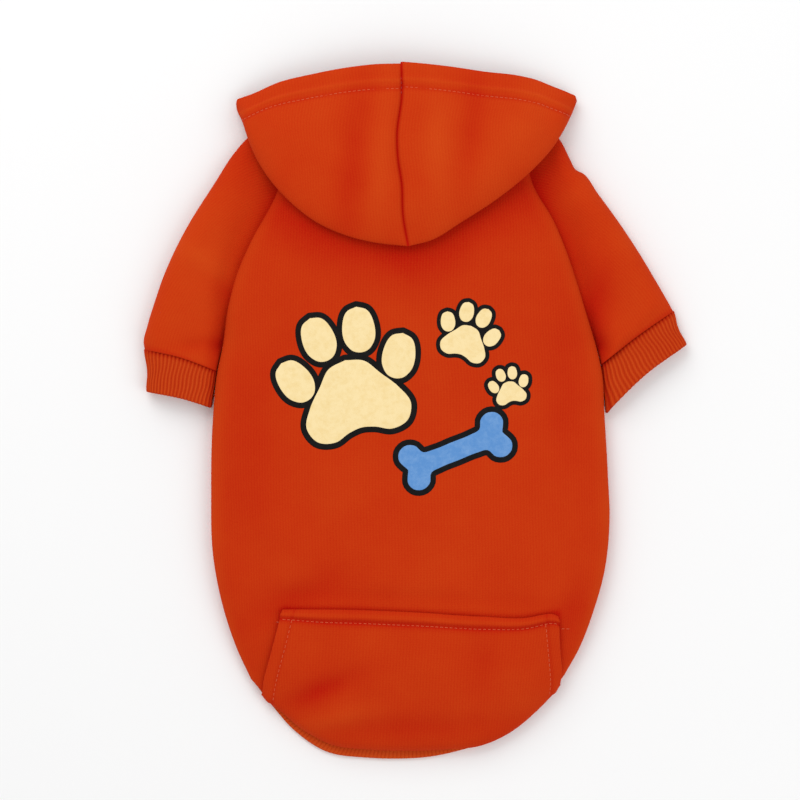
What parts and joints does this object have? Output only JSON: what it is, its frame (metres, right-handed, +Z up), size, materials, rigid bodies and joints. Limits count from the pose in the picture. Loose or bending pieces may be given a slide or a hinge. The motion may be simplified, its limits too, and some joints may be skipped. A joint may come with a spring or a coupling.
{
  "type": "dog hoodie",
  "caption": "Short-sleeved fleece dog hoodie with rib cuffs, a back pocket and a hem band, lying flat on its belly side with the hood folded back.",
  "frame": {"origin": "centre of the bounding box, on the surface that the hoodie lies on", "axes": "+X across the garment to the picture's right, +Y from the hem to the hood, +Z up, out of the back"},
  "size_m": [0.2985, 0.3814, 0.0315],
  "materials": {
    "brushed_fleece": "matt knitted face, brushed inside",
    "rib_knit": "matt one-by-one rib"
  },
  "bodies": {
    "root": {"back_panel": "brushed_fleece", "pocket": "brushed_fleece", "belly_panel": "brushed_fleece", "sleeve_left": "brushed_fleece", "sleeve_right": "brushed_fleece", "hood_left": "brushed_fleece", "hood_right": "brushed_fleece", "cuff_left": "rib_knit", "cuff_right": "rib_knit", "hem_band": "rib_knit"}
  },
  "joints": []
}
